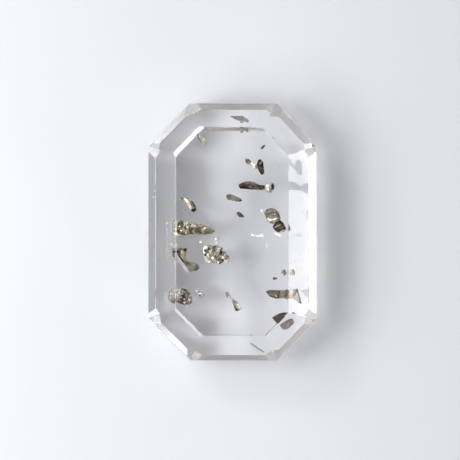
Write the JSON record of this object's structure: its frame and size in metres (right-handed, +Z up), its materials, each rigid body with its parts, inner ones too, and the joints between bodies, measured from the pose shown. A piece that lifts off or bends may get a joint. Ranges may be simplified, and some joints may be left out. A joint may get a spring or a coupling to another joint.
{
  "type": "pyrite in quartz gemstone",
  "caption": "Clear step-cut quartz gem with a flat table, upright girdle and flat base, and pyrite crystals sealed inside.",
  "frame": {"origin": "middle of the flat base that the stone rests on", "axes": "+Y along the stone's length, +X across its width, +Z up from the base to the table"},
  "size_m": [0.012, 0.0184, 0.0057],
  "materials": {
    "quartz": "clear, flat facets polished to a mirror",
    "pyrite": "natural crystal faces, dull brassy grey with brighter growth ridges"
  },
  "bodies": {
    "root": {"quartz_crown": "quartz", "quartz_pavilion": "quartz", "pyrite_plate_north": "pyrite", "pyrite_wedge_north_west": "pyrite", "pyrite_fleck_north": "pyrite", "pyrite_fan_north_east": "pyrite", "pyrite_bar_north_east": "pyrite", "pyrite_bar_centre_north": "pyrite", "pyrite_fleck_centre": "pyrite", "pyrite_pair_east": "pyrite", "pyrite_crescent_west": "pyrite", "pyrite_bar_west": "pyrite", "pyrite_wedge_west": "pyrite", "pyrite_cluster_centre": "pyrite", "pyrite_cluster_south_west": "pyrite", "pyrite_sliver_south": "pyrite", "pyrite_bar_south_east": "pyrite", "pyrite_fleck_east": "pyrite", "pyrite_fleck_east_small": "pyrite", "pyrite_plate_south_east": "pyrite", "pyrite_needle_south": "pyrite"}
  },
  "joints": []
}
